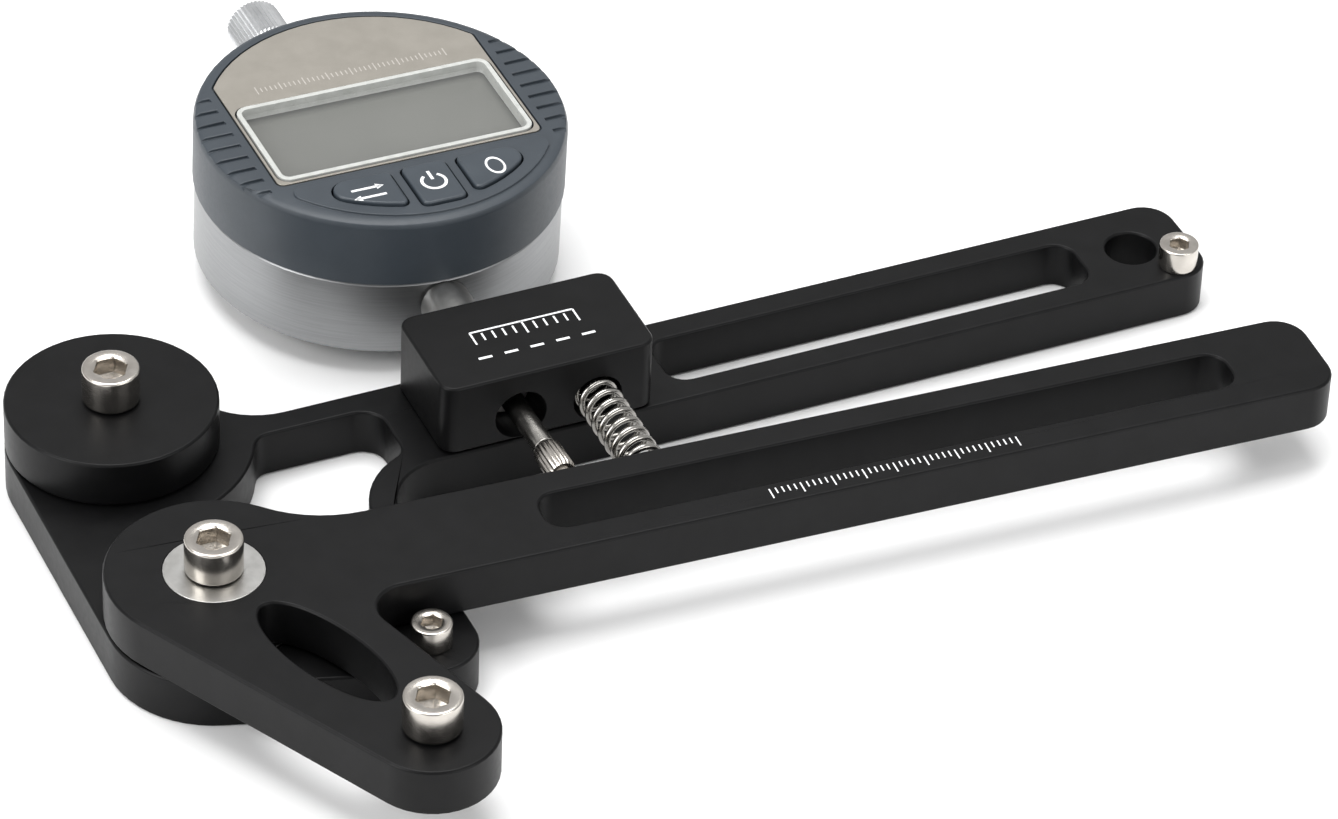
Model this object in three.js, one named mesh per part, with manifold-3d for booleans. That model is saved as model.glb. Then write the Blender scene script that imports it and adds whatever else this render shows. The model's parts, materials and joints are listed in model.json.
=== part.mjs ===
// Spoke tension meter: two pivoted plates with three bearing posts, and a digital indicator that
// reads how far the sprung lever plate has moved.
import * as THREE from 'three';
import { mergeVertices } from 'three/addons/utils/BufferGeometryUtils.js';
import Module from 'manifold-3d';

const wasm = await Module();
wasm.setup();

// Driving dimensions, in millimetres. The origin is on the pivot axis at the underside of the
// base plate. +X runs along the base handle, +Y towards the indicator, +Z up through the plates.
const PLATE = 8; // thickness of both plates
const AIR = 0.3; // clearance between neighbouring pieces
const PLATE_GAP = 0.4; // clearance between the two plates
const CHAMFER = 0.3; // broken edge of the plates
const ROUND = 16.3; // radius about the pivot and about the rest disc
const POST_PITCH = 43.8; // pivot to rest disc
const HANDLE_END = 177; // pivot to the ends of both handles
const HANDLE_CORNER = 5;
const SLOT_CORNER = 3.3;
const REST_ANGLE = THREE.MathUtils.degToRad(-2.94); // lever to base handle, at rest

const baseHandle = { front: 21.5, back: 41.1, rail: 4.5, slot: [85.2, 158] };
const leverHandle = { front: -11.85, back: 6.2, rail: 4.85, slot: [50, 162] };
const leverPost = { x: 18.74, y: -43.2, r: 10 }; // in the lever's own axes
const sightHole = { x: 9.79, y: -22.62, a: 13.85, b: 5.1, tilt: THREE.MathUtils.degToRad(-66.6) };
const stopLobe = { x: 27.2, y: -17.1, r: 7.3 };
const stopScrew = { x: 27.2, y: -17.7 };
const web = { disc: 5.4, back: 4.4, front: 4.35 }; // walls round the base plate's window
const frontFillet = { x: 44.4, y: 11.5, r: 10 };
const backFillet = 12;
const waist = 20; // hollow edge of the lever beside the pivot
const bush = { r: 7.6, bore: 7.65, seat: 7.1, washer: 12 };
const bigScrew = { head: 4.4, height: 5.7, shank: 2.5, flats: 4, socket: 3 };
const smallScrew = { head: 3.1, height: 3.7, shank: 1.6, flats: 2.5, socket: 2 };
const hangHole = { x: 167, y: 31.3, a: 4.1, b: 4.1 };
const endScrew = { x: 172.1, y: 25 };

const block = { x: [45.2, 80.2], top: 20.57, corner: 2.5 };
const blockScrews = [50, 76.4];
const mainSpring = { x: 70.5, z: 12.4, outer: 3.5, wire: 0.45, turns: 10, pocket: 6 };
const guidePin = { r: 1, seat: 2.8, reach: 2.5 };

const axisX = 57.8; // line of the clamp's bore
const axisZ = 12.8;
const DIAL_Y = 81.1; // centre of the dial
const DIAL_SHIFT = 1; // the dial's centre lies a little to the right of its spindle
const ROLL = THREE.MathUtils.degToRad(1.3); // the round stem sits turned a little in its clamp
const YAW = THREE.MathUtils.degToRad(0.6); // and swung a little within its clearance
const stem = { r: 4, neck: 3.1, bore: 2.1, clamp: 4.2 };
const dial = { r: 29.05, head: 29.4, wall: 2, bottom: -9.05, seam: 4, face: 15.8 };
const flange = { r: 24.5, collar: 26.5, top: 5.8 };
const display = { y: -1.4, halfX: 20.6, halfY: 9.5, frame: 0.8 };
const label = { r: 27, halfX: 22.1, thick: 0.3 };
const keys = { x: 0.4, y: -1.2, pad: 26.2, reach: 23.8, rise: 0.4, stand: 0.5, corner: 0.9 };
const tray = { halfX: 11.5, bottom: 6.2, top: 10.6, back: 3, cell: 10 };

// Finishes.
const finish = (color, roughness, metalness) =>
  new THREE.MeshStandardMaterial({ color, roughness, metalness });
const anodised = finish(0x2b2b2d, 0.45, 0.6);
const stainless = finish(0xb9b4aa, 0.3, 1);
const brushed = finish(0x96968f, 0.35, 1);
const springSteel = finish(0x9c9a94, 0.25, 1);
const castCase = finish(0xb4b7b6, 0.4, 0.9);
const shellPlastic = finish(0x555f69, 0.5, 0);
const labelSheet = finish(0x9e9891, 0.5, 0.2);
const brightFrame = finish(0xd7dad4, 0.3, 0.5);
const clear = finish(0xe8ece8, 0.05, 0);
const lcdGlass = finish(0x7a7c75, 0.25, 0);
const keyPlastic = finish(0x57616b, 0.45, 0);
const keyRubber = finish(0x303234, 0.8, 0);
const boardGreen = finish(0x1f5a3a, 0.6, 0);
const cellSteel = finish(0xb8b8b4, 0.3, 1);

// Sides of a polygon that stays within a few hundredths of a millimetre of a circle.
const facets = (r) => 4 * Math.ceil(Math.sqrt(r) * 3);

// ---- Outlines ----

// Points of a closed outline that runs round each circle in turn along common tangents.
// turn 1 is an outside corner, -1 an inside one; grow moves the whole outline outwards.
function outline(circles, grow = 0) {
  const rounds = circles.map(([x, y, r, turn = 1]) => ({ x, y, turn, r: r + turn * grow }));
  const count = rounds.length;
  const leaving = rounds.map((a, i) => {
    const b = rounds[(i + 1) % count];
    const reach = Math.hypot(b.x - a.x, b.y - a.y);
    const slant = THREE.MathUtils.clamp((a.turn * a.r - b.turn * b.r) / reach, -1, 1);
    return Math.atan2(b.y - a.y, b.x - a.x) + Math.asin(slant);
  });
  const points = [];
  rounds.forEach(({ x, y, r, turn }, i) => {
    const arriving = leaving[(i + count - 1) % count];
    const swept = THREE.MathUtils.euclideanModulo(turn * (leaving[i] - arriving), 2 * Math.PI);
    const sweep = swept > 2 * Math.PI - 1e-4 ? 0 : swept;
    const steps = Math.max(1, Math.ceil((sweep * facets(r)) / (2 * Math.PI)));
    for (let k = 0; k <= steps; k++) {
      const angle = arriving + turn * ((sweep * k) / steps - Math.PI / 2);
      points.push(new THREE.Vector2(x + r * Math.cos(angle), y + r * Math.sin(angle)));
    }
  });
  return points.filter((p, i) => p.distanceTo(points[(i + 1) % points.length]) > 0.01);
}

// Four corner circles of a rounded rectangle.
function corners([x0, x1], [y0, y1], r) {
  return [
    [x0 + r, y0 + r, r],
    [x1 - r, y0 + r, r],
    [x1 - r, y1 - r, r],
    [x0 + r, y1 - r, r],
  ];
}

const around = (centre, half) => [centre - half, centre + half];

// An ellipse, or a circle when both radii are the same.
function oval({ x, y, a, b, tilt = 0 }) {
  const points = new THREE.EllipseCurve(0, 0, a, b).getPoints(facets(a)).slice(0, -1);
  return points.map((p) => p.rotateAround(new THREE.Vector2(), tilt).add({ x, y }));
}

// ---- Solids ----

// A closed three.js geometry as a manifold-3d solid.
function solid(geometry) {
  const bare = new THREE.BufferGeometry();
  bare.setAttribute('position', geometry.getAttribute('position'));
  bare.setIndex(geometry.index);
  const merged = mergeVertices(bare, 1e-4);
  return new wasm.Manifold(
    new wasm.Mesh({
      numProp: 3,
      vertProperties: merged.getAttribute('position').array,
      triVerts: new Uint32Array(merged.index.array),
    }),
  );
}

function geometryOf(shape) {
  const { vertProperties, triVerts } = shape.getMesh();
  const geometry = new THREE.BufferGeometry();
  geometry.setAttribute('position', new THREE.BufferAttribute(vertProperties, 3));
  geometry.setIndex(new THREE.BufferAttribute(triVerts, 1));
  const flat = geometry.toNonIndexed();
  flat.computeVertexNormals();
  return flat;
}

// An outline with holes, raised from z0 to z1, its edges broken by chamfer.
function prism(points, [z0, z1], holes = [], chamfer = 0) {
  const shape = new THREE.Shape(points);
  shape.holes = holes.map((hole) => new THREE.Path(hole));
  const geometry = new THREE.ExtrudeGeometry(shape, {
    depth: z1 - z0 - 2 * chamfer,
    bevelEnabled: chamfer > 0,
    bevelThickness: chamfer,
    bevelSize: chamfer,
    bevelOffset: -chamfer,
    bevelSegments: 1,
  });
  geometry.translate(0, 0, z0 + chamfer);
  return solid(geometry);
}

// A [radius, height] profile turned about Z, listed anticlockwise.
function turned(profile, segments = facets(Math.max(...profile.map(([r]) => r)))) {
  const points = profile.map(([r, z]) => new THREE.Vector2(r, z));
  return solid(new THREE.LatheGeometry(points, segments).rotateX(Math.PI / 2));
}

function rod(r, [z0, z1], segments) {
  return turned(
    [
      [0, z0],
      [r, z0],
      [r, z1],
      [0, z1],
    ],
    segments,
  );
}

// The same profile turned about Y, with heights measured along +Y.
const turnedY = (profile) => turned(profile).rotate([-90, 0, 0]);
const rodY = (r, span) => rod(r, span).rotate([-90, 0, 0]);

function box([x0, x1], [y0, y1], [z0, z1]) {
  const geometry = new THREE.BoxGeometry(x1 - x0, y1 - y0, z1 - z0);
  geometry.translate((x0 + x1) / 2, (y0 + y1) / 2, (z0 + z1) / 2);
  return solid(geometry);
}

const drill = (x, y, r, span) => rod(r, span).translate([x, y, 0]);

// A helical spring along +Y with closed ends, from y0 to y1.
class Coil extends THREE.Curve {
  constructor(radius, turns, y0, y1) {
    super();
    Object.assign(this, { radius, turns, y0, y1 });
  }

  getPoint(t, target = new THREE.Vector3()) {
    const angle = 2 * Math.PI * this.turns * t;
    const y = THREE.MathUtils.lerp(this.y0, this.y1, t);
    return target.set(this.radius * Math.cos(angle), y, this.radius * Math.sin(angle));
  }
}

function spring({ outer, wire, turns }, [y0, y1], sides, stepsPerTurn) {
  const section = new THREE.Shape();
  section.absarc(0, 0, wire, 0, 2 * Math.PI);
  return new THREE.ExtrudeGeometry(section, {
    curveSegments: sides / 2,
    steps: turns * stepsPerTurn,
    extrudePath: new Coil(outer - wire, turns, y0 + wire, y1 - wire),
  });
}

// A socket cap screw standing on z = 0 with its shank below.
function capScrew({ head, height, shank, flats, socket }, length) {
  const rim = 0.4;
  const body = turned([
    [0, -length],
    [shank, -length],
    [shank, 0],
    [head, 0],
    [head, height - rim],
    [head - rim, height],
    [0, height],
  ]);
  const hex = rod(flats / Math.sqrt(3), [height - socket, height + 1], 6);
  return body.subtract(hex);
}

// ---- Scene ----

function piece(name, shape, material, parent) {
  const geometry = shape.isBufferGeometry ? shape : geometryOf(shape);
  const mesh = new THREE.Mesh(geometry, material);
  mesh.name = name;
  parent.add(mesh);
  return mesh;
}

const tool = new THREE.Group();
tool.name = 'spoke_tension_meter';

const lever = new THREE.Group();
lever.rotation.z = REST_ANGLE;
lever.position.z = PLATE + PLATE_GAP;
tool.add(lever);

const indicator = new THREE.Group();
const blockMiddle = (baseHandle.front + baseHandle.back) / 2;
indicator.position.set(axisX - (DIAL_Y - blockMiddle) * Math.tan(YAW), DIAL_Y, axisZ);
indicator.rotation.set(0, ROLL, YAW, 'ZYX');
tool.add(indicator);

const dialGroup = new THREE.Group();
dialGroup.position.x = DIAL_SHIFT;
indicator.add(dialGroup);

// ---- Base plate and what is fixed to it ----

// The hollow corner that runs from the disc's round into the handle's back edge.
function discFillet() {
  const y = baseHandle.back + backFillet;
  const x = Math.sqrt((ROUND + backFillet) ** 2 - (y - POST_PITCH) ** 2);
  return [x, y, backFillet, -1];
}

function baseOutline() {
  const inset = HANDLE_CORNER;
  return outline([
    [0, 0, ROUND],
    [stopLobe.x, stopLobe.y, stopLobe.r],
    [frontFillet.x, frontFillet.y, frontFillet.r, -1],
    [HANDLE_END - inset, baseHandle.front + inset, inset],
    [HANDLE_END - inset, baseHandle.back - inset, inset],
    discFillet(),
    [0, POST_PITCH, ROUND],
  ]);
}

// The window between disc, pivot and handle leaves a web of even width round each.
function baseWindow() {
  const ring = ROUND + web.disc;
  const back = baseHandle.back - web.back;
  const backLeft = 3;
  const backLeftX = Math.sqrt((ring + backLeft) ** 2 - (POST_PITCH - back + backLeft) ** 2);
  const neck = 2.5;
  const neckX = Math.sqrt((ring + neck) ** 2 - (POST_PITCH / 2) ** 2);
  const front = frontFillet.r + web.front;
  const right = 40.3;
  const frontRight = 2.5;
  const frontRightX = right - frontRight;
  const rise = Math.sqrt((front + frontRight) ** 2 - (frontFillet.x - frontRightX) ** 2);
  return outline([
    [frontRightX, frontFillet.y + rise, frontRight],
    [right - 4, back - 4, 4],
    [backLeftX, back - backLeft, backLeft],
    [0, POST_PITCH, ring, -1],
    [neckX, POST_PITCH / 2, neck],
    [0, 0, ring, -1],
    [frontFillet.x - front - 4, 8, 4],
    [frontFillet.x, frontFillet.y, front, -1],
  ]);
}

function slotOutline({ front, back, rail, slot }) {
  return outline(corners(slot, [front + rail, back - rail], SLOT_CORNER));
}

function basePlate() {
  const holes = [baseWindow(), slotOutline(baseHandle), oval(hangHole)];
  const blank = prism(baseOutline(), [0, PLATE], holes, CHAMFER);
  const blind = [2, PLATE + 1];
  const cuts = [
    drill(0, 0, bush.washer + AIR, [bush.seat, PLATE + 1]),
    drill(0, 0, bigScrew.shank + AIR, blind),
    drill(0, POST_PITCH, bigScrew.shank + AIR, blind),
    drill(stopScrew.x, stopScrew.y, smallScrew.shank + AIR, blind),
    drill(endScrew.x, endScrew.y, smallScrew.shank + AIR, blind),
    drill(axisX, setScrew.y, setScrew.r + AIR, [-1, PLATE + 1]),
    ...blockScrews.flatMap((x) => [
      drill(x, blockMiddle, blockScrew.shank + AIR, [-1, PLATE + 1]),
      drill(x, blockMiddle, blockScrew.head + AIR, [-1, blockScrew.height + 2 * AIR]),
    ]),
  ];
  return cuts.reduce((plate, cut) => plate.subtract(cut), blank);
}

const blockScrew = { head: 3.5, height: 4, shank: 2, flats: 3, socket: 2 };
const setScrew = { r: 2, y: 35, flats: 2 };

function clampBlock() {
  const bottom = PLATE + AIR;
  const sides = [baseHandle.front, baseHandle.back];
  const blank = prism(outline(corners(block.x, sides, block.corner)), [bottom, block.top], [], CHAMFER);
  const bore = rodY(stem.clamp, [baseHandle.front - 1, baseHandle.back + 1]);
  const pocket = rodY(mainSpring.outer + 0.5, [baseHandle.front - 1, baseHandle.front + mainSpring.pocket]);
  const cuts = [
    bore.translate([axisX, 0, axisZ]),
    pocket.translate([mainSpring.x, 0, mainSpring.z]),
    drill(axisX, setScrew.y, setScrew.r + AIR, [bottom - 1, axisZ]),
    ...blockScrews.map((x) => drill(x, blockMiddle, blockScrew.shank + AIR, [bottom - 1, bottom + 9])),
  ];
  return cuts.reduce((shape, cut) => shape.subtract(cut), blank);
}

function restDisc() {
  const top = 2 * PLATE;
  const bottom = PLATE + AIR;
  return turned([
    [bigScrew.shank + AIR, bottom],
    [ROUND - CHAMFER, bottom],
    [ROUND, bottom + CHAMFER],
    [ROUND, top - CHAMFER],
    [ROUND - CHAMFER, top],
    [bigScrew.shank + AIR, top],
    [bigScrew.shank + AIR, bottom],
  ]);
}

// A ring about Z between two radii.
function ring(inner, outer, [z0, z1]) {
  return turned([
    [inner, z0],
    [outer, z0],
    [outer, z1],
    [inner, z1],
    [inner, z0],
  ]);
}

function addBase() {
  const leverTop = 2 * PLATE + PLATE_GAP;
  piece('base_plate', basePlate(), anodised, tool);
  piece('spoke_rest_disc', restDisc().translate([0, POST_PITCH, 0]), anodised, tool);
  piece('clamp_block', clampBlock(), anodised, tool);
  piece('pivot_bush', ring(bigScrew.shank + AIR, bush.r, [bush.seat + AIR, leverTop]), brushed, tool);
  const washer = ring(bush.r + AIR, bush.washer, [bush.seat + AIR, PLATE + 0.1]);
  piece('thrust_washer', washer, brushed, tool);

  const pivotScrew = capScrew(bigScrew, leverTop - 2);
  piece('pivot_screw', pivotScrew, stainless, tool).position.z = leverTop + AIR;
  const discScrew = capScrew(bigScrew, 2 * PLATE - 2);
  piece('disc_post_screw', discScrew, stainless, tool).position.set(0, POST_PITCH, 2 * PLATE + AIR);
  const stops = { stop_screw: stopScrew, handle_end_screw: endScrew };
  for (const [name, { x, y }] of Object.entries(stops)) {
    piece(name, capScrew(smallScrew, PLATE - 2), stainless, tool).position.set(x, y, PLATE + AIR);
  }
  blockScrews.forEach((x, i) => {
    const screw = piece(`block_screw_${i + 1}`, capScrew(blockScrew, 12), stainless, tool);
    screw.position.set(x, blockMiddle, blockScrew.height + AIR);
    screw.rotation.x = Math.PI;
  });
  const grub = rod(setScrew.r, [1, axisZ - stem.r - AIR]);
  const key = rod(setScrew.flats / Math.sqrt(3), [0, 3], 6);
  piece('stem_set_screw', grub.subtract(key), springSteel, tool).position.set(axisX, setScrew.y, 0);
}

// ---- Lever plate and its pieces, in the lever's own axes ----

// Where the lever's back edge lies at rest, beside the base: y at a given x.
const leverEdge = (x) => x * Math.tan(REST_ANGLE) + leverHandle.back / Math.cos(REST_ANGLE);
const pinU = (mainSpring.x + leverHandle.back * Math.sin(REST_ANGLE)) / Math.cos(REST_ANGLE);

function leverOutline() {
  const { front, back } = leverHandle;
  const inset = HANDLE_CORNER;
  const hollowY = back + waist;
  const hollowX = Math.sqrt((ROUND + waist) ** 2 - hollowY ** 2);
  return outline([
    [0, 0, ROUND],
    [leverPost.x, leverPost.y, leverPost.r],
    armFillet(),
    [HANDLE_END - inset, front + inset, inset],
    [HANDLE_END - inset, back - inset, inset],
    [hollowX, hollowY, waist, -1],
  ]);
}

// The inside corner between the short arm and the handle's front edge.
function armFillet() {
  const r = 4.9;
  const armAngle = THREE.MathUtils.degToRad(110.74);
  const across = leverPost.r + r;
  const y = leverHandle.front - r;
  const along = (y - leverPost.y - across * Math.sin(armAngle - Math.PI / 2)) / Math.sin(armAngle);
  const x = leverPost.x + across * Math.cos(armAngle - Math.PI / 2) + along * Math.cos(armAngle);
  return [x, y, r, -1];
}

function leverPlate() {
  const holes = [oval(sightHole), slotOutline(leverHandle)];
  const blank = prism(leverOutline(), [0, PLATE], holes, CHAMFER);
  const through = [-1, PLATE + 1];
  const pinHole = rodY(guidePin.r + AIR, [leverHandle.back - guidePin.seat, leverHandle.back + 1]);
  const cuts = [
    rod(bush.bore, through),
    drill(leverPost.x, leverPost.y, bigScrew.shank + AIR, through),
    pinHole.translate([pinU, 0, mainSpring.z - PLATE - PLATE_GAP]),
  ];
  return cuts.reduce((plate, cut) => plate.subtract(cut), blank);
}

function addLever() {
  piece('lever_plate', leverPlate(), anodised, lever);
  const post = piece('lever_post_screw', capScrew(bigScrew, PLATE - 0.5), stainless, lever);
  post.position.set(leverPost.x, leverPost.y, PLATE + AIR);
  const seat = leverHandle.back - guidePin.seat + AIR;
  const pin = rodY(guidePin.r, [seat, leverHandle.back + guidePin.reach]);
  piece('spring_guide_pin', pin, anodised, lever).position.set(
    pinU,
    0,
    mainSpring.z - PLATE - PLATE_GAP,
  );
}

function addMainSpring() {
  const span = [leverEdge(mainSpring.x) + 2 * AIR, baseHandle.front + mainSpring.pocket - AIR];
  const coil = spring(mainSpring, span, 6, 10);
  piece('main_spring', coil, springSteel, tool).position.set(mainSpring.x, 0, mainSpring.z);
}

// ---- Indicator, in its own axes: +Y along the spindle, origin beside the dial's centre ----

const backScrew = { head: 1.5, height: 0.8, shank: 0.8, flats: 1, socket: 0.5 };
const backScrewRing = 24.8;

function backScrewSpots() {
  return [45, 135, 225, 315].map((degrees) => {
    const angle = THREE.MathUtils.degToRad(degrees);
    return [backScrewRing * Math.cos(angle), backScrewRing * Math.sin(angle)];
  });
}

function indicatorCase() {
  const { r, wall, bottom, seam } = dial;
  const inner = r - wall;
  const lip = [bottom + 2, bottom + 3.5];
  const shell = turned([
    [inner, bottom],
    [r - CHAMFER, bottom],
    [r, bottom + CHAMFER],
    [r, seam - CHAMFER],
    [r - CHAMFER, seam],
    [inner, seam],
    [inner, lip[1]],
    [inner - 3.6, lip[1]],
    [inner - 3.6, lip[0]],
    [inner, lip[0]],
    [inner, bottom],
  ]);
  const ports = rodY(stem.neck + AIR, [-r - 1, r + 1]).translate([-DIAL_SHIFT, 0, 0]);
  return backScrewSpots().reduce(
    (shape, [x, y]) => shape.subtract(drill(x, y, backScrew.shank + AIR, [bottom, lip[1] + 1])),
    shell.subtract(ports),
  );
}

function indicatorBack() {
  const cover = rod(dial.r - dial.wall - AIR, [dial.bottom, dial.bottom + 1.7]);
  return backScrewSpots().reduce(
    (shape, [x, y]) => shape.subtract(drill(x, y, backScrew.shank + AIR, [dial.bottom - 1, 0])),
    cover,
  );
}

function indicatorStem() {
  const front = 27.4 - DIAL_Y;
  const shoulder = -dial.r - AIR;
  return turnedY([
    [stem.bore, front],
    [stem.r - 0.3, front],
    [stem.r, front + 0.3],
    [stem.r, shoulder],
    [stem.neck, shoulder],
    [stem.neck, shoulder + 4],
    [stem.bore, shoulder + 4],
    [stem.bore, front],
  ]);
}

const cap = { r: 4.6, bore: 2.85, end: 51.7 };

function dustCap() {
  const base = dial.head + AIR;
  return turnedY([
    [cap.bore, base - 3.5],
    [stem.neck, base - 3.5],
    [stem.neck, base],
    [cap.r, base],
    [cap.r, cap.end - 0.8],
    [cap.r - 0.8, cap.end],
    [0, cap.end],
    [0, cap.end - 1],
    [cap.bore, cap.end - 1],
    [cap.bore, base - 3.5],
  ]);
}

const spindleR = 1.8;
const tip = { r: 2.3, shoulder: 12.3, start: 5.9, ball: 1.5 };
const spindleEnd = 31;

function contactTip() {
  const ballY = leverEdge(axisX) + AIR + tip.ball - DIAL_Y;
  const quarter = [0, 30, 60, 90].map((degrees) => {
    const angle = THREE.MathUtils.degToRad(degrees);
    return [tip.ball * Math.sin(angle), ballY - tip.ball * Math.cos(angle)];
  });
  return turnedY([
    ...quarter,
    [tip.ball, tip.start - DIAL_Y],
    [tip.r - 0.3, tip.start - DIAL_Y],
    [tip.r, tip.start + 0.3 - DIAL_Y],
    [tip.r, tip.shoulder - 0.3 - DIAL_Y],
    [tip.r - 0.3, tip.shoulder - DIAL_Y],
    [0, tip.shoulder - DIAL_Y],
  ]);
}

function spindle() {
  return turnedY([
    [0, tip.shoulder + AIR - DIAL_Y],
    [spindleR, tip.shoulder + AIR - DIAL_Y],
    [spindleR, spindleEnd - 1.2],
    [spindleR + 0.6, spindleEnd - 1.2],
    [spindleR + 0.6, spindleEnd],
    [0, spindleEnd],
  ]);
}

function addIndicator() {
  piece('indicator_case', indicatorCase(), castCase, dialGroup);
  piece('indicator_back', indicatorBack(), castCase, dialGroup);
  backScrewSpots().forEach(([x, y], i) => {
    const screw = piece(`back_screw_${i + 1}`, capScrew(backScrew, 3), stainless, dialGroup);
    screw.position.set(x, y, dial.bottom - AIR);
    screw.rotation.x = Math.PI;
  });
  piece('indicator_stem', indicatorStem(), brushed, indicator);
  piece('dust_cap', dustCap(), castCase, indicator);
  piece('spindle', spindle(), springSteel, indicator);
  piece('contact_tip', contactTip(), stainless, indicator);
  const coil = { outer: 2.55, wire: 0.25, turns: 9 };
  const returnSpring = spring(coil, [spindleEnd + AIR, cap.end - 1 - AIR], 4, 8);
  piece('return_spring', returnSpring, springSteel, indicator);
  const scaleZ = spindleR + AIR;
  piece('scale_bar', box([-3, 3], [-16, 16], [scaleZ, scaleZ + 0.8]), brightFrame, indicator);
  const readerZ = scaleZ + 0.8 + AIR;
  piece('reader_board', box([-9, 9], [-12, 12], [readerZ, readerZ + 1]), boardGreen, indicator);
}

// ---- Display head ----

// Both side keys follow one arc about the key pad's centre; side is 1 for the right one.
function sideKey(side, grow = 0) {
  const inner = 5.6;
  const top = -14.3;
  const r = keys.corner;
  const outer = 2.5;
  const lowY = -Math.sqrt((keys.reach - r) ** 2 - (inner + r) ** 2);
  const outerX = Math.sqrt((keys.reach - outer) ** 2 - (top - outer) ** 2);
  const rounds = [
    [side * (inner + r), lowY, r],
    [0, 0, keys.reach],
    [side * outerX, top - outer, outer],
    [side * (inner + r), top - r, r],
  ];
  return outline(side > 0 ? rounds : rounds.reverse(), grow);
}

function middleKey(grow = 0) {
  return outline(corners(around(0, 3.6), [-24.2, -14.2], keys.corner), grow);
}

const keyOutlines = {
  unit_button: (grow) => sideKey(-1, grow),
  power_button: (grow) => middleKey(grow),
  zero_button: (grow) => sideKey(1, grow),
};

function keyPad() {
  const r = 2;
  const top = -12.6;
  const x = Math.sqrt((keys.pad - r) ** 2 - (top - r) ** 2);
  return outline([
    [-x, top - r, r],
    [0, 0, keys.pad],
    [x, top - r, r],
  ]);
}

function labelOutline(grow = 0) {
  const r = 1;
  const x = label.halfX - r;
  const y = Math.sqrt((label.r - r) ** 2 - x ** 2);
  const low = display.y - display.halfY - display.frame - AIR - 0.4;
  return outline(
    [
      [-x, low + r, r],
      [x, low + r, r],
      [x, y, r],
      [0, 0, label.r],
      [-x, y, r],
    ],
    grow,
  );
}

function displayOutline(grow) {
  const halfX = display.halfX + grow;
  const halfY = display.halfY + grow;
  return outline(corners(around(0, halfX), around(display.y, halfY), 1.2 + grow));
}

function gripGrooves() {
  const pitch = 3.23;
  const inner = 23.7;
  const outer = dial.head + 1;
  const depth = [dial.face - 0.5, dial.face + 1];
  return [-4, -3, -2, -1, 0, 1, 2, 3, 4].flatMap((row) => {
    const y = around(-0.3 + row * pitch, 0.45);
    return [box([inner, outer], y, depth), box([-outer, -inner], y, depth)];
  });
}

function displayShell() {
  const { head, wall, seam, face } = dial;
  const rounding = [0, 45, 90].map((degrees) => {
    const angle = THREE.MathUtils.degToRad(degrees);
    return [head - 1.2 + 1.2 * Math.cos(angle), face - 1.2 + 1.2 * Math.sin(angle)];
  });
  const low = seam + AIR;
  const shell = turned([
    [flange.r, low - 0.5],
    [flange.collar, low - 0.5],
    [flange.collar, low],
    [head, low],
    ...rounding,
    [0, face],
    [0, face - 2.2],
    [head - wall, face - 2.2],
    [head - wall, flange.top],
    [flange.r, flange.top],
    [flange.r, low - 0.5],
  ]);
  const pad = prism(keyPad(), [face - 1, face + keys.rise]).translate([keys.x, keys.y, 0]);
  const keyHoles = Object.values(keyOutlines).map((shape) =>
    prism(shape(AIR), [face - 3, face + 1]).translate([keys.x, keys.y, 0]),
  );
  const trayWidth = around(0, tray.halfX + AIR);
  const cuts = [
    prism(labelOutline(AIR), [face - label.thick - AIR, face + 0.2]),
    prism(displayOutline(display.frame + AIR), [face - 3, face + 1]),
    box(trayWidth, [20, head + 1], [tray.bottom - AIR, tray.top + AIR]),
    ...gripGrooves(),
    ...keyHoles,
  ];
  return cuts.reduce((shape, cut) => shape.subtract(cut), shell.add(pad));
}

function batteryTray() {
  const { halfX, bottom, top, back, cell } = tray;
  const blank = box(around(0, halfX), [back, dial.head], [bottom, top]);
  const front = rod(dial.head, [bottom - 1, top + 1]);
  const pocket = rod(cell + AIR, [bottom + 0.7, top + 1]);
  return blank.intersect(front).subtract(pocket.translate([0, back + halfX, 0]));
}

function addDisplayHead() {
  const { face } = dial;
  piece('display_shell', displayShell(), shellPlastic, dialGroup);
  const labelHole = [displayOutline(display.frame + AIR)];
  const labelPlate = prism(labelOutline(), [face - label.thick, face], labelHole);
  piece('label_plate', labelPlate, labelSheet, dialGroup);
  const opening = [displayOutline(0)];
  const frame = prism(displayOutline(display.frame), [face - 1.9, face + 0.2], opening);
  piece('display_frame', frame, brightFrame, dialGroup);
  const pane = prism(displayOutline(-AIR), [face - 1.3, face - 0.8]);
  piece('display_window', pane, clear, dialGroup);
  const panel = box(around(0, 22), around(display.y, 11), [face - 3.5, face - 2.5]);
  piece('lcd_panel', panel, lcdGlass, dialGroup);
  const mat = box(around(0, 17), [-24, -14.8], [face - 3.5, face - 2.9]);
  piece('key_mat', mat.intersect(rod(25, [0, 20])), keyRubber, dialGroup);
  for (const [name, shape] of Object.entries(keyOutlines)) {
    const key = prism(shape(0), [face - 2.3, face + keys.rise + keys.stand], [], 0.2);
    piece(name, key, keyPlastic, dialGroup).position.set(keys.x, keys.y, 0);
  }
  piece('circuit_board', rod(25, [face - 4.6, face - 3.8]), boardGreen, dialGroup);
  piece('battery_tray', batteryTray(), shellPlastic, dialGroup);
  const cellZ = tray.bottom + 0.7 + AIR;
  const cell = rod(tray.cell, [cellZ, cellZ + 3.2]);
  piece('battery', cell, cellSteel, dialGroup).position.y = tray.back + tray.halfX;
}

addBase();
addLever();
addMainSpring();
addIndicator();
addDisplayHead();

export default tool;
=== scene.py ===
"""Looks for the spoke tension meter: finishes, fine detail, studio and camera."""

import json
import math

import bmesh
import bpy
from mathutils import Matrix, Vector

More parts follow.
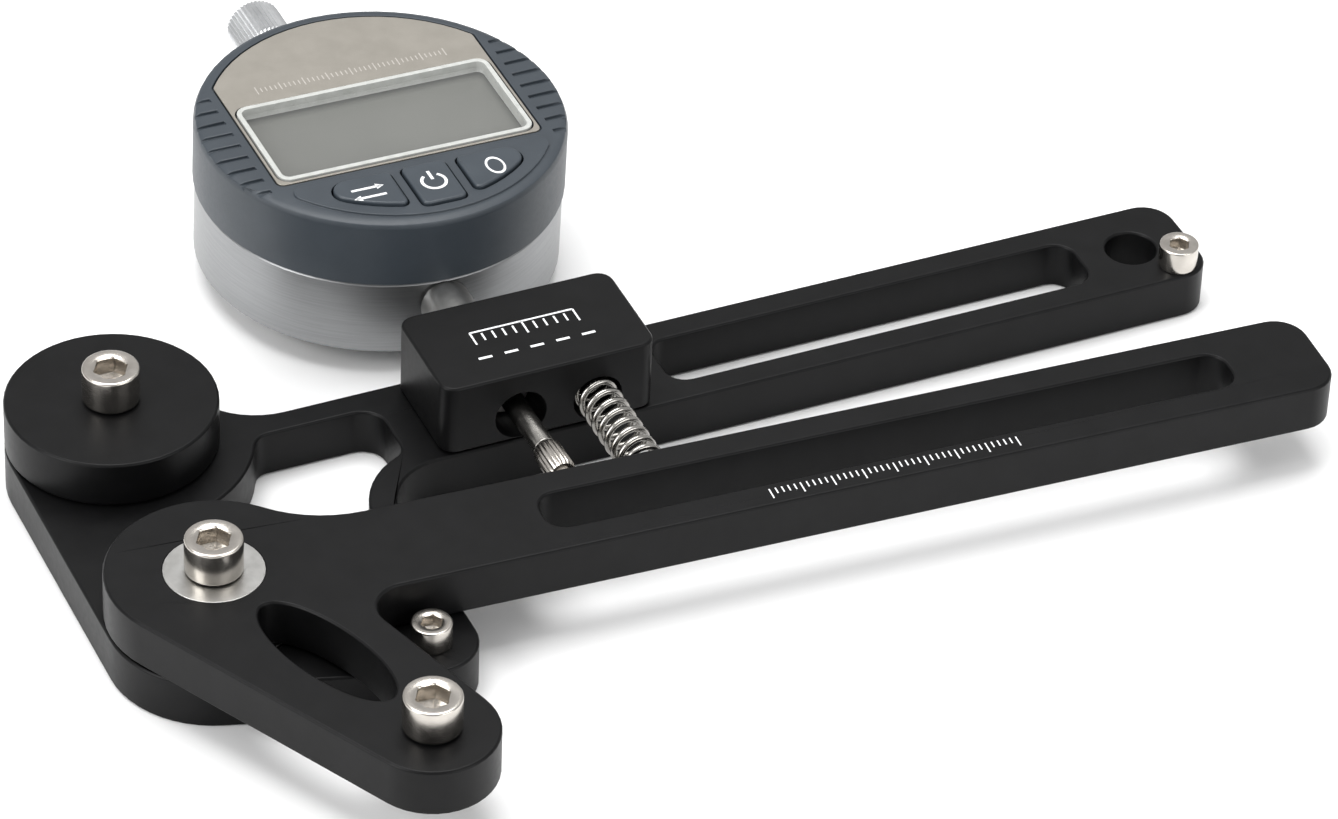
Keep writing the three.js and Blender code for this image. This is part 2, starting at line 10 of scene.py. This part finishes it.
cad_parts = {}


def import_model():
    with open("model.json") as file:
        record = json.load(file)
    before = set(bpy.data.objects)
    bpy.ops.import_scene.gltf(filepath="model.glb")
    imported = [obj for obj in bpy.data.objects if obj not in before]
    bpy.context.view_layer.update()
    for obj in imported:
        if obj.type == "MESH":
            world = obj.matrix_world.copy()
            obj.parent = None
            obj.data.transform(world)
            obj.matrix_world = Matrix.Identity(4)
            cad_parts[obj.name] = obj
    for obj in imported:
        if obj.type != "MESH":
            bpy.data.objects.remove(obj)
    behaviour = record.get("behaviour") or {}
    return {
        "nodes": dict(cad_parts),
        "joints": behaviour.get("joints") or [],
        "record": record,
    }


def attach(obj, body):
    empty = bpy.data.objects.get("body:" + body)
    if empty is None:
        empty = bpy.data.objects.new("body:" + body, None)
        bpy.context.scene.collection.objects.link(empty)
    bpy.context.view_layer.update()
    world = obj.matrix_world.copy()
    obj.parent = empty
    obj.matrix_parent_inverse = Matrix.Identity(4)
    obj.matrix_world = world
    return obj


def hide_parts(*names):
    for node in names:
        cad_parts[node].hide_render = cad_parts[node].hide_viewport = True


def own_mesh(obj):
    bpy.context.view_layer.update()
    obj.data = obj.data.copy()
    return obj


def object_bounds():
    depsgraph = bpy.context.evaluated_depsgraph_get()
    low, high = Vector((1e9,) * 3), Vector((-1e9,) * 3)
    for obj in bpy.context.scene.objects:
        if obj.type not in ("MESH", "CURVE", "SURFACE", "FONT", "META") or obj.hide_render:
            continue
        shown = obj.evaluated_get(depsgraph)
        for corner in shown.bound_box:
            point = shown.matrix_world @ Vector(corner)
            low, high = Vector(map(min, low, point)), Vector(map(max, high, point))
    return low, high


MM = 0.001
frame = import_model()
cad_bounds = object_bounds()
NODES = frame["nodes"]
RECORD = frame["record"]
JOINTS = {joint["name"]: joint for joint in frame["joints"]}
BODY_OF = {node: body for body, nodes in RECORD["behaviour"]["bodies"].items() for node in nodes}
SLOT_OF = {part["node"]: part["material_slot"] for part in RECORD["subparts"]}

LEVER_REST = math.radians(-2.94)  # the lever's handle to the base's handle
HANDLE_FRONT = -11.85 * MM  # front edge of the lever's handle, in its own axes
SCALE_START = 84 * MM  # where the handle's graduations begin, from the pivot
SCALE_INSET = 3.6 * MM  # and how far they lie behind the handle's front edge
SMOOTH = math.radians(32)  # softer angles than this are shaded as one surface
POST_KEY = 4.6  # hexagon keys of the socket screws, across flats, in millimetres
SMALL_KEY = 2.9
BLOCK_KEY = 3
BACK_KEY = 1
INK = 0.02 * MM  # thickness of the printed marks
PLATE_EDGE = 0.12  # rounding of the pieces' edges, in millimetres
METAL_EDGE = 0.1
THIN_EDGE = 0.05
VIEW_TURN = math.radians(-25.38)  # the camera's place round the object
VIEW_RISE = math.radians(38.26)
VIEW_TILT = math.radians(2.591)
VIEW_TARGET = Vector((86.2, 29.17, 0)) * MM
VIEW_DISTANCE = 1.02486
LENS = 177.65


# ---- Places, read from the frame ----


def indicator_axes():
    """The display's own axes: Z out of its face, Y along the spindle, origin where it turns."""
    turn_joint = JOINTS["display_turn"]
    z = Vector(turn_joint["axis"]).normalized()
    y = Vector(JOINTS["spindle_slide"]["axis"]).normalized()
    x = y.cross(z).normalized()
    matrix = Matrix((x, y, z)).transposed().to_4x4()
    matrix.translation = Vector(turn_joint["pos_m"])
    return matrix


DIAL = indicator_axes()
LEVER = Matrix.Rotation(LEVER_REST, 4, "Z")


def extent(node, axes=None):
    """Lowest and highest corners of a CAD node, in the given axes."""
    inverse = (axes or Matrix()).inverted()
    points = [inverse @ v.co for v in NODES[node].data.vertices]
    low = Vector([min(p[i] for p in points) for i in range(3)])
    high = Vector([max(p[i] for p in points) for i in range(3)])
    return low, high


def middle(node, axes=None):
    low, high = extent(node, axes)
    return (low + high) / 2


# ---- Materials ----


class Paint:
    """A Principled material with helpers for noise, bump and colour variation."""

    def __init__(self, name, **sockets):
        self.material = bpy.data.materials.new(name)
        self.material.use_nodes = True
        self.tree = self.material.node_tree
        self.shader = self.tree.nodes["Principled BSDF"]
        for key, value in sockets.items():
            self.shader.inputs[key.replace("_", " ")].default_value = value
        self.normal = None

    def node(self, kind, **inputs):
        node = self.tree.nodes.new(kind)
        for key, value in inputs.items():
            node.inputs[key.replace("_", " ")].default_value = value
        return node

    def link(self, source, target):
        self.tree.links.new(source, target)

    def noise(self, scale, stretch=(1, 1, 1), detail=3.0):
        """Noise in object space; scale counts features per metre."""
        coordinates = self.node("ShaderNodeTexCoord")
        mapping = self.node("ShaderNodeMapping", Scale=stretch)
        noise = self.node("ShaderNodeTexNoise", Scale=scale, Detail=detail)
        self.link(coordinates.outputs["Object"], mapping.inputs["Vector"])
        self.link(mapping.outputs["Vector"], noise.inputs["Vector"])
        return noise.outputs["Fac"]

    def rings(self, scale, direction="Z"):
        """Fine turning marks about the object's own axis."""
        coordinates = self.node("ShaderNodeTexCoord")
        wave = self.node("ShaderNodeTexWave", Scale=scale, Distortion=1.5, Detail=2.0)
        wave.wave_type = "RINGS"
        wave.rings_direction = direction
        self.link(coordinates.outputs["Object"], wave.inputs["Vector"])
        return wave.outputs["Fac"]

    def ramp(self, factor, stops):
        ramp = self.node("ShaderNodeValToRGB")
        low, high = ramp.color_ramp.elements
        (low.position, low.color), (high.position, high.color) = stops
        self.link(factor, ramp.inputs["Fac"])
        return ramp.outputs["Color"]

    def colour(self, factor, dark, light, spread=(0.3, 0.7)):
        stops = [(spread[0], (*dark, 1)), (spread[1], (*light, 1))]
        self.link(self.ramp(factor, stops), self.shader.inputs["Base Color"])
        return self

    def roughness(self, factor, low, high):
        span = self.node("ShaderNodeMapRange", To_Min=low, To_Max=high)
        self.link(factor, span.inputs["Value"])
        self.link(span.outputs["Result"], self.shader.inputs["Roughness"])
        return self

    def bump(self, height, distance, strength=0.5):
        bump = self.node("ShaderNodeBump", Strength=strength, Distance=distance)
        self.link(height, bump.inputs["Height"])
        if self.normal:
            self.link(self.normal, bump.inputs["Normal"])
        self.normal = bump.outputs["Normal"]
        self.link(self.normal, self.shader.inputs["Normal"])
        return self


def black_anodised():
    paint = Paint("black_anodised", Specular_IOR_Level=0.16)
    paint.colour(paint.noise(220), (0.0028, 0.0028, 0.003), (0.0045, 0.0045, 0.0048))
    paint.roughness(paint.noise(900, detail=5.0), 0.34, 0.46)
    return paint.bump(paint.noise(6000), 0.012 * MM, 0.35)


def stainless():
    paint = Paint("stainless", Metallic=1.0)
    paint.colour(paint.noise(400), (0.5, 0.47, 0.43), (0.62, 0.585, 0.54))
    paint.roughness(paint.noise(1500), 0.16, 0.3)
    return paint.bump(paint.noise(1200, (1, 1, 9)), 0.006 * MM, 0.3)


def brushed_steel():
    paint = Paint("brushed_steel", Metallic=1.0)
    paint.colour(paint.noise(500), (0.42, 0.415, 0.4), (0.52, 0.515, 0.5))
    paint.roughness(paint.noise(1800), 0.26, 0.4)
    return paint.bump(paint.rings(900), 0.006 * MM, 0.35)


def spring_steel():
    paint = Paint("spring_steel", Metallic=1.0)
    paint.colour(paint.noise(700), (0.34, 0.33, 0.31), (0.44, 0.425, 0.4))
    paint.roughness(paint.noise(2500), 0.15, 0.3)
    return paint.bump(paint.noise(4000), 0.004 * MM, 0.3)


def case_metal():
    paint = Paint("case_metal", Metallic=1.0)
    turning = paint.noise(3600, (0.03, 0.03, 1), 4.0)
    paint.colour(turning, (0.27, 0.275, 0.28), (0.31, 0.315, 0.32))
    paint.roughness(paint.noise(1500), 0.34, 0.42)
    return paint.bump(turning, 0.002 * MM, 0.15)


def bright_cap():
    paint = Paint("bright_cap", Metallic=1.0)
    paint.colour(paint.noise(600), (0.62, 0.63, 0.64), (0.72, 0.73, 0.74))
    paint.roughness(paint.noise(1800), 0.28, 0.38)
    return paint.bump(paint.noise(2400), 0.006 * MM, 0.3)


def shell_plastic():
    paint = Paint("shell_plastic", Specular_IOR_Level=0.45)
    paint.colour(paint.noise(160), (0.03, 0.038, 0.047), (0.036, 0.045, 0.055))
    paint.roughness(paint.noise(1200), 0.38, 0.5)
    return paint.bump(paint.noise(5200), 0.02 * MM, 0.4)


def key_plastic():
    paint = Paint("key_plastic", Specular_IOR_Level=0.45)
    paint.colour(paint.noise(180), (0.032, 0.041, 0.051), (0.04, 0.05, 0.061))
    paint.roughness(paint.noise(1200), 0.34, 0.46)
    return paint.bump(paint.noise(6400), 0.015 * MM, 0.35)


def label_sheet():
    paint = Paint("label_sheet", Metallic=0.55)
    paint.colour(paint.noise(260), (0.31, 0.29, 0.255), (0.345, 0.322, 0.285))
    paint.roughness(paint.noise(900), 0.34, 0.44)
    return paint.bump(paint.noise(7000), 0.003 * MM, 0.25)


def bright_frame():
    paint = Paint("bright_frame", Specular_IOR_Level=0.5)
    paint.colour(paint.noise(600), (0.42, 0.43, 0.41), (0.5, 0.51, 0.49))
    paint.roughness(paint.noise(1500), 0.24, 0.34)
    return paint.bump(paint.noise(4000), 0.004 * MM, 0.2)


def clear_window():
    paint = Paint("clear_window", Alpha=0.05, IOR=1.5)
    paint.colour(paint.noise(60), (0.86, 0.88, 0.86), (0.92, 0.94, 0.92))
    return paint.roughness(paint.noise(300), 0.03, 0.07)


def lcd():
    paint = Paint("lcd", Specular_IOR_Level=0.3)
    paint.colour(paint.noise(70), (0.08, 0.08, 0.072), (0.092, 0.092, 0.083))
    paint.roughness(paint.noise(500), 0.18, 0.28)
    return paint.bump(paint.noise(9000), 0.002 * MM, 0.2)


def key_rubber():
    paint = Paint("key_rubber")
    paint.colour(paint.noise(400), (0.008, 0.009, 0.01), (0.014, 0.015, 0.017))
    paint.roughness(paint.noise(900), 0.75, 0.9)
    return paint.bump(paint.noise(3000), 0.02 * MM, 0.4)


def board():
    paint = Paint("board")
    paint.colour(paint.noise(500), (0.008, 0.06, 0.025), (0.014, 0.09, 0.04))
    paint.roughness(paint.noise(900), 0.4, 0.55)
    return paint.bump(paint.noise(1500), 0.02 * MM, 0.4)


def cell_steel():
    paint = Paint("cell_steel", Metallic=1.0)
    paint.colour(paint.noise(500), (0.6, 0.6, 0.58), (0.7, 0.7, 0.68))
    paint.roughness(paint.noise(1500), 0.2, 0.3)
    return paint.bump(paint.rings(600), 0.005 * MM, 0.3)


def white_ink():
    paint = Paint("white_ink")
    paint.colour(paint.noise(1500), (0.72, 0.73, 0.74), (0.82, 0.83, 0.84))
    paint.roughness(paint.noise(2500), 0.4, 0.55)
    return paint.bump(paint.noise(5000), 0.005 * MM, 0.3)


def faint_ink():
    paint = Paint("faint_ink", Metallic=0.4)
    paint.colour(paint.noise(1500), (0.47, 0.445, 0.41), (0.54, 0.51, 0.47))
    paint.roughness(paint.noise(2500), 0.35, 0.45)
    return paint.bump(paint.noise(5000), 0.004 * MM, 0.3)


FINISHES = {
    make.__name__: make().material
    for make in (
        black_anodised,
        stainless,
        brushed_steel,
        spring_steel,
        case_metal,
        bright_cap,
        shell_plastic,
        key_plastic,
        label_sheet,
        bright_frame,
        clear_window,
        lcd,
        key_rubber,
        board,
        cell_steel,
        white_ink,
        faint_ink,
    )
}


# ---- Pieces ----


def shade(mesh):
    for polygon in mesh.polygons:
        polygon.use_smooth = True
    mesh.set_sharp_from_angle(angle=SMOOTH)


def add_piece(name, mesh, node, finish=None, stands_for=True, place=None):
    """A piece that rides on the node's body, wears its slot and may stand for it."""
    piece = bpy.data.objects.new(name, mesh)
    bpy.context.scene.collection.objects.link(piece)
    mesh.materials.clear()
    mesh.materials.append(FINISHES[finish or SLOT_OF[node]])
    shade(mesh)
    if place:
        piece.matrix_world = place
    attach(piece, BODY_OF[node])
    if stands_for:
        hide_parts(node)
    return piece


def refine(node, bevel, steps=3):
    """The CAD node's own shape, welded, with its edges rounded by bevel millimetres."""
    mesh = NODES[node].data.copy()
    shape = bmesh.new()
    shape.from_mesh(mesh)
    bmesh.ops.remove_doubles(shape, verts=shape.verts, dist=0.004 * MM)
    shape.to_mesh(mesh)
    shape.free()
    piece = add_piece(node + "_skin", mesh, node)
    rounding = piece.modifiers.new("rounded_edges", "BEVEL")
    rounding.width = bevel * MM
    rounding.segments = steps
    rounding.limit_method = "ANGLE"
    rounding.angle_limit = SMOOTH
    rounding.use_clamp_overlap = False
    flattening = piece.modifiers.new("flat_faces_stay_flat", "WEIGHTED_NORMAL")
    flattening.mode = "FACE_AREA"
    flattening.weight = 100
    return piece


def plain(angle):
    return 1.0


def hexagon(angle):
    """A six-sided section whose flats lie at the stated radius."""
    sixth = math.pi / 3
    return 1 / math.cos(angle % sixth - sixth / 2)


def knurl(teeth, depth):
    """A section with pointed ribs that run straight along the piece."""

    def section(angle):
        phase = angle * teeth / (2 * math.pi) % 1
        return 1 - depth * abs(2 * phase - 1)

    return section


def turn(name, rings, steps=96):
    """A surface about Z through rings of (radius, height, section)."""
    shape = bmesh.new()
    loops = []
    for radius, height, section in rings:
        if radius == 0:
            loops.append([shape.verts.new((0, 0, height))] * steps)
            continue
        angles = [2 * math.pi * i / steps for i in range(steps)]
        reach = [radius * section(angle) for angle in angles]
        points = [(r * math.cos(a), r * math.sin(a), height) for r, a in zip(reach, angles)]
        loops.append([shape.verts.new(point) for point in points])
    for low, high in zip(loops, loops[1:]):
        for i in range(steps):
            j = (i + 1) % steps
            corners = dict.fromkeys((low[i], low[j], high[j], high[i]))
            shape.faces.new(list(corners))
    bmesh.ops.recalc_face_normals(shape, faces=shape.faces)
    mesh = bpy.data.meshes.new(name)
    shape.to_mesh(mesh)
    shape.free()
    return mesh


def soft_profile(corners, r, steps=4):
    """The rings of a profile whose inner corners are rounded by r."""
    points = [Vector(corner) for corner in corners]
    rings = [(*points[0], plain)]
    for before, corner, after in zip(points, points[1:], points[2:]):
        reach = min(r, (corner - before).length / 2.1, (after - corner).length / 2.1)
        start = corner + (before - corner).normalized() * reach
        end = corner + (after - corner).normalized() * reach
        for k in range(steps + 1):
            t = k / steps
            point = start.lerp(corner, t).lerp(corner.lerp(end, t), t)
            rings.append((point.x, point.y, plain))
    rings.append((*points[-1], plain))
    return rings


def cap_screw(node, flats, upright=True, axes=None):
    """A socket cap screw with a rolled rim, in place of the CAD one; flats is the key's size."""
    low, high = extent(node, axes)
    head = (high.x - low.x) / 2
    top = high.z - low.z
    shank = head * 0.56
    height = min(top - 1 * MM, head * 1.3)
    base = top - height
    key = flats / 2 * MM
    rim = 0.09 * head
    rings = soft_profile(
        [(0, 0), (shank, 0), (shank, base), (head, base), (head, top), (key * 1.32, top)], rim
    )[:-1]
    rings += [
        (key * 1.3, top, plain),
        (key * 1.2, top - 0.02 * head, plain),
        (key * 1.03, top - 0.05 * head, hexagon),
        (key, top - 0.09 * head, hexagon),
        (key, top - height * 0.5, hexagon),
        (0, top - height * 0.62, plain),
    ]
    mesh = turn(node + "_turned", rings)
    centre = (low + high) / 2
    place = Matrix.Translation((centre.x, centre.y, low.z))
    if not upright:
        place = Matrix.Translation((centre.x, centre.y, high.z)) @ Matrix.Rotation(math.pi, 4, "X")
    return add_piece(node + "_turned", mesh, node, place=(axes or Matrix()) @ place)


def along_y(x, y, z, axes=None):
    """A place whose Z runs along +Y of the given axes."""
    return (axes or Matrix()) @ Matrix.Translation((x, y, z)) @ Matrix.Rotation(-math.pi / 2, 4, "X")


def contact_tip():
    low, high = extent("contact_tip", DIAL)
    centre = middle("contact_tip", DIAL)
    length = high.y - low.y
    r = (high.x - low.x) / 2
    ball = r * 0.65
    neck = length * 0.28
    rings = [
        (ball * math.sin(a), ball - ball * math.cos(a), plain)
        for a in (math.radians(10 * i) for i in range(10))
    ]
    rings[0] = (0, 0, plain)
    rings += [(ball, neck * 0.98, plain), (r * 0.86, neck, plain)]
    straight = knurl(20, 0.09)
    rings += [(r, neck + 0.06 * length, straight), (r, length * 0.94, straight)]
    rings += [(r * 0.86, length, plain), (0, length, plain)]
    mesh = turn("contact_tip_knurled", rings, 192)
    place = along_y(centre.x, low.y, centre.z, DIAL)
    add_piece("contact_tip_knurled", mesh, "contact_tip", place=place)


def dust_cap():
    low, high = extent("dust_cap", DIAL)
    centre = middle("dust_cap", DIAL)
    length = high.y - low.y - 0.02 * MM
    r = (high.x - low.x) / 2
    grip = length * 0.66
    straight = knurl(40, 0.05)
    rings = [(r * 0.66, 0, plain), (r * 0.66, 3.5 * MM, plain), (r * 0.94, 3.5 * MM, plain)]
    rings += [(r * 0.94, grip - 0.7 * MM, plain), (r * 0.88, grip - 0.5 * MM, plain)]
    rings += [(r * 0.88, grip, plain), (r * 0.95, grip + 0.05 * MM, straight)]
    rings += [(r, grip + 0.3 * MM, straight), (r, length - 0.5 * MM, straight)]
    rings += [(r * 0.93, length - 0.1 * MM, straight), (r * 0.86, length, plain), (0, length, plain)]
    mesh = turn("dust_cap_knurled", rings, 320)
    place = along_y(centre.x, low.y, centre.z, DIAL)
    add_piece("dust_cap_knurled", mesh, "dust_cap", "bright_cap", place=place)


def spindle():
    low, high = extent("spindle", DIAL)
    centre = middle("spindle", DIAL)
    length = high.y - low.y
    r = (high.x - low.x) / 2
    shaft = r * 0.75
    shoulder = length - 1.2 * MM
    corners = [(0, 0), (shaft, 0), (shaft, shoulder), (r, shoulder), (r, length), (0, length)]
    mesh = turn("spindle_ground", soft_profile(corners, 0.15 * MM), 64)
    add_piece("spindle_ground", mesh, "spindle", place=along_y(centre.x, low.y, centre.z, DIAL))


def coil_mesh(name, outer, wire, length, turns, steps=40, sides=14):
    """A compression spring along Z with closed ends, as one swept round wire."""
    radius = outer - wire
    count = int(turns * steps)
    ends = 0.9 / turns
    shape = bmesh.new()
    rows = []
    for i in range(count + 1):
        t = i / count
        angle = 2 * math.pi * turns * t
        climb = min(max((t - ends) / (1 - 2 * ends), 0), 1)
        closed = 2 * wire * turns * (t - climb * (1 - 2 * ends))
        height = wire + closed + climb * (length - 2 * wire * (1 + 2 * ends * turns))
        centre = Vector((radius * math.cos(angle), radius * math.sin(angle), height))
        out = Vector((math.cos(angle), math.sin(angle), 0))
        row = []
        for k in range(sides):
            around = 2 * math.pi * k / sides
            offset = out * (wire * math.cos(around)) + Vector((0, 0, wire * math.sin(around)))
            row.append(shape.verts.new(centre + offset))
        rows.append(row)
    for low, high in zip(rows, rows[1:]):
        for k in range(sides):
            j = (k + 1) % sides
            shape.faces.new((low[k], low[j], high[j], high[k]))
    shape.faces.new(rows[0])
    shape.faces.new(rows[-1][::-1])
    bmesh.ops.recalc_face_normals(shape, faces=shape.faces)
    mesh = bpy.data.meshes.new(name)
    shape.to_mesh(mesh)
    shape.free()
    return mesh


def main_spring():
    low, high = extent("main_spring")
    centre = middle("main_spring")
    outer = (high.x - low.x) / 2
    length = high.y - low.y
    mesh = coil_mesh("main_spring_wound", outer, outer * 0.15, length, 10.4)
    spring = add_piece(
        "main_spring_wound", mesh, "main_spring", place=along_y(centre.x, low.y, centre.z)
    )
    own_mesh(spring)


def return_spring():
    low, high = extent("return_spring", DIAL)
    centre = middle("return_spring", DIAL)
    outer = (high.x - low.x) / 2
    length = high.y - low.y
    mesh = coil_mesh("return_spring_wound", outer, outer * 0.1, length, 9.4, steps=24, sides=8)
    place = along_y(centre.x, low.y, centre.z, DIAL)
    spring = add_piece("return_spring_wound", mesh, "return_spring", place=place)
    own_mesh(spring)


# ---- Marks, printed as thin films ----


def film(shape, outline):
    """One closed outline raised as a thin film, in millimetres."""
    low = [shape.verts.new((x * MM, y * MM, 0)) for x, y in outline]
    high = [shape.verts.new((x * MM, y * MM, INK)) for x, y in outline]
    shape.faces.new(high)
    shape.faces.new(low[::-1])
    for i in range(len(low)):
        j = (i + 1) % len(low)
        shape.faces.new((low[i], low[j], high[j], high[i]))


def arc_strip(radius, start, end, width, squeeze=1.0, steps=40):
    """Outline of a curved stroke, angles in degrees."""
    angles = [math.radians(start + (end - start) * i / steps) for i in range(steps + 1)]
    outer, inner = (
        [(reach * math.cos(a) * squeeze, reach * math.sin(a)) for a in angles]
        for reach in (radius + width / 2, radius - width / 2)
    )
    return outer + inner[::-1]


def strokes(name, outlines, node, place, finish="white_ink"):
    shape = bmesh.new()
    for outline in outlines:
        film(shape, outline)
    bmesh.ops.recalc_face_normals(shape, faces=shape.faces)
    mesh = bpy.data.meshes.new(name)
    shape.to_mesh(mesh)
    shape.free()
    return add_piece(name, mesh, node, finish, stands_for=False, place=place)


def bar(x, y, width, height):
    half = (width / 2, height / 2)
    return [
        (x - half[0], y - half[1]),
        (x + half[0], y - half[1]),
        (x + half[0], y + half[1]),
        (x - half[0], y + half[1]),
    ]


def handle_scale():
    """Graduations on the lever's front rail."""
    top = extent("lever_plate", LEVER)[1].z
    lengths = [2.2 if i % 5 == 0 else 1.3 for i in range(41)]
    graduations = [bar(i, -tall / 2, 0.22, tall) for i, tall in enumerate(lengths)]
    place = LEVER @ Matrix.Translation((SCALE_START, HANDLE_FRONT + SCALE_INSET, top))
    strokes("handle_scale", graduations, "lever_plate", place)


def block_marks():
    """Two rows of plain marks on the clamp block."""
    centre = middle("clamp_block")
    top = extent("clamp_block")[1].z
    width = 17
    left = -width / 2
    rows = [bar(0, 2.4, width, 0.35)]
    rows += [bar(left + i * width / 10, 0.9, 0.3, 3 if i % 5 == 0 else 1.8) for i in range(11)]
    rows += [bar(left + i * width / 4, -4.0, 2.2, 0.5) for i in range(5)]
    strokes("block_marks", rows, "clamp_block", Matrix.Translation((centre.x, centre.y, top)))


def key_icons():
    """A unit arrow, a power sign and a nought on the three keys."""
    icons = {
        "unit_button": [
            bar(0, 1.1, 5.0, 0.5),
            [(1.6, 0.4), (2.9, 1.1), (1.6, 1.8)],
            bar(0, -1.1, 5.0, 0.5),
            [(-1.6, -0.4), (-2.9, -1.1), (-1.6, -1.8)],
        ],
        "power_button": [arc_strip(1.9, 125, 415, 0.5), bar(0, 1.6, 0.5, 2.2)],
        "zero_button": [
            arc_strip(2.0, 0, 180, 0.5, 0.68),
            arc_strip(2.0, 180, 360, 0.5, 0.68),
        ],
    }
    for node, outlines in icons.items():
        centre = middle(node, DIAL)
        top = extent(node, DIAL)[1].z
        place = DIAL @ Matrix.Translation((centre.x, centre.y, top))
        strokes(node + "_icon", outlines, node, place)


def label_marks():
    """Faint graduations across the label above the display."""
    top = extent("label_plate", DIAL)[1].z
    edge = extent("display_frame", DIAL)[1].y
    spots = [bar(-16 + i * 0.8, 0, 0.18, 2.0 if i % 5 == 0 else 1.1) for i in range(41)]
    place = DIAL @ Matrix.Translation((0, edge + 3.6 * MM, top))
    strokes("label_marks", spots, "label_plate", place, "faint_ink")


# ---- Studio ----


def studio_floor():
    bottom = cad_bounds[0][2]
    bpy.ops.mesh.primitive_plane_add(size=6, location=(0, 0, bottom - 0.05 * MM))
    floor = bpy.context.object
    floor.name = "studio_floor"
    paint = Paint("studio_floor", Specular_IOR_Level=0.1)
    paint.colour(paint.noise(8), (0.9, 0.9, 0.9), (0.93, 0.93, 0.93))
    paint.roughness(paint.noise(20), 0.7, 0.8)
    floor.data.materials.append(paint.material)


def area_light(name, place, target, size, power):
    data = bpy.data.lights.new(name, "AREA")
    data.shape = "RECTANGLE"
    data.size, data.size_y = size
    data.energy = power
    light = bpy.data.objects.new(name, data)
    light.location = place
    light.rotation_euler = (Vector(target) - Vector(place)).to_track_quat("-Z", "Y").to_euler()
    bpy.context.scene.collection.objects.link(light)


def lights():
    centre = (90 * MM, 30 * MM, 0)
    area_light("overhead", (0.05, 0.25, 1.1), centre, (1.0, 0.7), 13)
    area_light("left", (-0.9, -0.15, 0.55), centre, (0.5, 0.8), 7)
    area_light("front", (0.55, -1.0, 0.5), centre, (0.9, 0.35), 4.5)


def world():
    scene = bpy.context.scene
    scene.world = bpy.data.worlds.new("studio")
    scene.world.use_nodes = True
    background = scene.world.node_tree.nodes["Background"]
    background.inputs["Color"].default_value = (1, 1, 1, 1)
    background.inputs["Strength"].default_value = 0.6
    scene.view_settings.view_transform = "Standard"


def camera():
    """A long lens from the front left, a little tilted."""
    flat = math.cos(VIEW_RISE)
    back = Vector((math.sin(VIEW_TURN) * flat, -math.cos(VIEW_TURN) * flat, math.sin(VIEW_RISE)))
    level = Vector((math.cos(VIEW_TURN), math.sin(VIEW_TURN), 0))
    upright = back.cross(level)
    right = math.cos(VIEW_TILT) * level + math.sin(VIEW_TILT) * upright
    up = -math.sin(VIEW_TILT) * level + math.cos(VIEW_TILT) * upright
    data = bpy.data.cameras.new("camera")
    data.sensor_width = 36
    data.lens = LENS
    data.clip_start = 0.05
    eye = bpy.data.objects.new("camera", data)
    eye.matrix_world = Matrix((right, up, back)).transposed().to_4x4()
    eye.location = VIEW_TARGET + back * VIEW_DISTANCE
    bpy.context.scene.collection.objects.link(eye)
    bpy.context.scene.camera = eye


def finish_nodes():
    for name, node in NODES.items():
        node.data.materials.clear()
        node.data.materials.append(FINISHES[SLOT_OF[name]])


def plates_and_shells():
    for node in ("base_plate", "lever_plate", "spoke_rest_disc", "clamp_block"):
        refine(node, PLATE_EDGE)
    for node in ("pivot_bush", "thrust_washer", "indicator_case", "indicator_back", "indicator_stem"):
        refine(node, METAL_EDGE)
    for node in ("display_shell", "unit_button", "power_button", "zero_button", "battery_tray"):
        refine(node, PLATE_EDGE)
    for node in ("label_plate", "display_frame"):
        refine(node, THIN_EDGE)


def screws():
    for node in ("pivot_screw", "disc_post_screw", "lever_post_screw"):
        cap_screw(node, POST_KEY)
    for node in ("stop_screw", "handle_end_screw"):
        cap_screw(node, SMALL_KEY)
    for node in ("block_screw_1", "block_screw_2"):
        cap_screw(node, BLOCK_KEY, upright=False)
    for i in range(4):
        cap_screw(f"back_screw_{i + 1}", BACK_KEY, upright=False, axes=DIAL)


def build():
    finish_nodes()
    plates_and_shells()
    screws()
    contact_tip()
    dust_cap()
    spindle()
    main_spring()
    return_spring()
    handle_scale()
    block_marks()
    key_icons()
    label_marks()
    studio_floor()
    lights()
    world()
    camera()


build()
